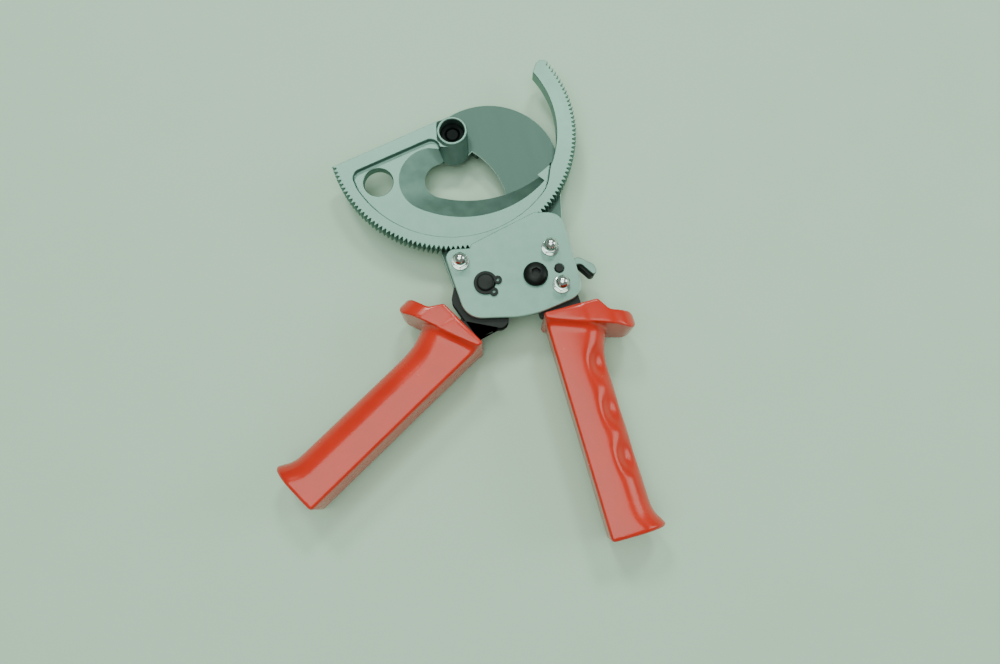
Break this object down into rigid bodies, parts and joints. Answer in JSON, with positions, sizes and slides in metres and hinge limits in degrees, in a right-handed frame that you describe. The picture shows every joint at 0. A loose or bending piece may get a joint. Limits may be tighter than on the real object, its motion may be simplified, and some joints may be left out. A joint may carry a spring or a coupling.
{
  "type": "ratchet cable cutter",
  "caption": "Hand ratchet cable cutter: a toothed hook blade turns past a fixed blade inside a steel body, driven by two red grips.",
  "frame": {"origin": "on the axis of the blade pivot, on the flat end of the pivot bolt's head, which is the tool's lowest face as it lies", "axes": "+Z along the pivot axis, from the bolt head up through the cover plate; +Y from the handles towards the jaw, along the body's sides; +X to the side of the fixed, grooved grip"},
  "size_m": [0.2107, 0.2822, 0.0386],
  "materials": {
    "satin_steel": "satin",
    "ground_steel": "satin",
    "black_steel": "satin",
    "bright_steel": "polished",
    "spring_steel": "satin",
    "red_plastic": "gloss"
  },
  "bodies": {
    "frame": {"fixed_blade": "ground_steel", "pivot_bolt": "black_steel", "pivot_washer": "bright_steel", "pivot_nut": "black_steel", "cover_plate": "satin_steel", "cover_screw_1": "black_steel", "cover_screw_2": "black_steel", "cover_screw_3": "black_steel", "nut_washer_1": "bright_steel", "nut_washer_2": "bright_steel", "nut_washer_3": "bright_steel", "dome_nut_1": "bright_steel", "dome_nut_2": "bright_steel", "dome_nut_3": "bright_steel", "body_spacer_1": "ground_steel", "body_spacer_2": "ground_steel", "fixed_frame_back": "black_steel", "fixed_frame_front": "black_steel", "fixed_grip": "red_plastic", "handle_pin": "black_steel", "handle_circlip": "black_steel", "handle_spring": "spring_steel", "pawl_bolt": "black_steel", "pawl_nut": "black_steel", "holding_spring": "spring_steel", "release_pin": "black_steel"},
    "blade": {"moving_blade": "satin_steel"},
    "moving_handle": {"moving_frame_back": "black_steel", "moving_frame_front": "black_steel", "frame_spacer": "black_steel", "moving_grip": "red_plastic", "drive_pawl_pin": "bright_steel"},
    "drive_pawl": {"drive_pawl": "satin_steel"},
    "holding_pawl": {"holding_pawl": "satin_steel"},
    "release": {"release_lever": "black_steel", "release_tab": "satin_steel"}
  },
  "joints": [
    {"name": "blade_swing", "type": "hinge", "parent": "frame", "child": "blade", "pos_m": [0, 0, 0.0193], "axis": [0, 0, 1], "range_deg": [-190, 40]},
    {"name": "handle_swing", "type": "hinge", "parent": "frame", "child": "moving_handle", "pos_m": [-0.0033, -0.0963, 0.0193], "axis": [0, 0, 1], "range_deg": [0, 32], "stiffness_Nm_per_rad": 0.6, "springref_deg": -17.19},
    {"name": "drive_pawl_swing", "type": "hinge", "parent": "moving_handle", "child": "drive_pawl", "pos_m": [0.00589, -0.10549, 0.0193], "axis": [0, 0, 1], "range_deg": [-48, 0]},
    {"name": "release_swing", "type": "hinge", "parent": "frame", "child": "release", "pos_m": [0.0392, -0.0978, 0.0193], "axis": [0, 0, 1], "range_deg": [0, 8], "stiffness_Nm_per_rad": 0.05, "springref_deg": -11.46},
    {"name": "holding_pawl_swing", "type": "hinge", "parent": "frame", "child": "holding_pawl", "pos_m": [0.0253, -0.0982, 0.0193], "axis": [0, 0, 1], "range_deg": [-6.4, 0]}
  ],
  "couplings": [
    {"joint": "drive_pawl_swing", "follows": "handle_swing", "ratio": -1.5},
    {"joint": "holding_pawl_swing", "follows": "release_swing", "ratio": -0.8}
  ]
}
